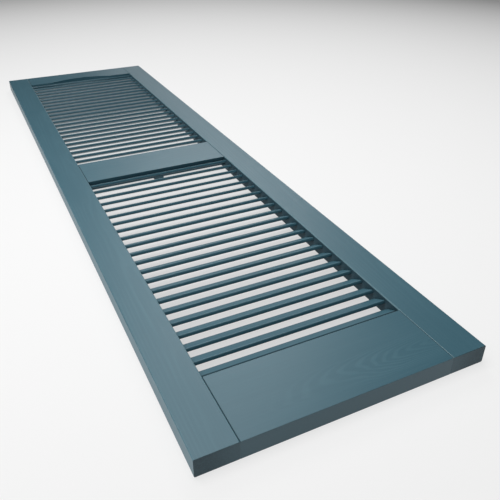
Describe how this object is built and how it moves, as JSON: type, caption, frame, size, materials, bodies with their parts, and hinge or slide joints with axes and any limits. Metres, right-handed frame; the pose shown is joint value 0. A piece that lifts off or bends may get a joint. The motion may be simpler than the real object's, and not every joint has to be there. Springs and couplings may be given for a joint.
{
  "type": "louvred shutter panel",
  "caption": "Tall louvred shutter panel with two stiles, three rails, an arched top rail edge and two banks of fixed slanted louvres.",
  "frame": {"origin": "centre of the panel's outline, on its back face", "axes": "+Z out of the front face, +Y up the panel from the bottom rail to the top rail, +X across it to the right stile as seen from the front with the top rail up"},
  "size_m": [0.381, 1.437, 0.026],
  "materials": {
    "painted_wood": "satin"
  },
  "bodies": {
    "root": {"left_stile": "painted_wood", "right_stile": "painted_wood", "bottom_rail": "painted_wood", "mid_rail": "painted_wood", "top_rail": "painted_wood", "louvre_lower_01": "painted_wood", "louvre_lower_02": "painted_wood", "louvre_lower_03": "painted_wood", "louvre_lower_04": "painted_wood", "louvre_lower_05": "painted_wood", "louvre_lower_06": "painted_wood", "louvre_lower_07": "painted_wood", "louvre_lower_08": "painted_wood", "louvre_lower_09": "painted_wood", "louvre_lower_10": "painted_wood", "louvre_lower_11": "painted_wood", "louvre_lower_12": "painted_wood", "louvre_lower_13": "painted_wood", "louvre_lower_14": "painted_wood", "louvre_lower_15": "painted_wood", "louvre_lower_16": "painted_wood", "louvre_lower_17": "painted_wood", "louvre_lower_18": "painted_wood", "louvre_lower_19": "painted_wood", "louvre_lower_20": "painted_wood", "louvre_lower_21": "painted_wood", "louvre_lower_22": "painted_wood", "louvre_upper_01": "painted_wood", "louvre_upper_02": "painted_wood", "louvre_upper_03": "painted_wood", "louvre_upper_04": "painted_wood", "louvre_upper_05": "painted_wood", "louvre_upper_06": "painted_wood", "louvre_upper_07": "painted_wood", "louvre_upper_08": "painted_wood", "louvre_upper_09": "painted_wood", "louvre_upper_10": "painted_wood", "louvre_upper_11": "painted_wood", "louvre_upper_12": "painted_wood", "louvre_upper_13": "painted_wood", "louvre_upper_14": "painted_wood", "louvre_upper_15": "painted_wood", "louvre_upper_16": "painted_wood", "louvre_upper_17": "painted_wood", "louvre_upper_18": "painted_wood", "louvre_upper_19": "painted_wood", "louvre_upper_20": "painted_wood", "louvre_upper_21": "painted_wood", "louvre_upper_22": "painted_wood", "louvre_upper_23": "painted_wood", "louvre_upper_24": "painted_wood"}
  },
  "joints": []
}
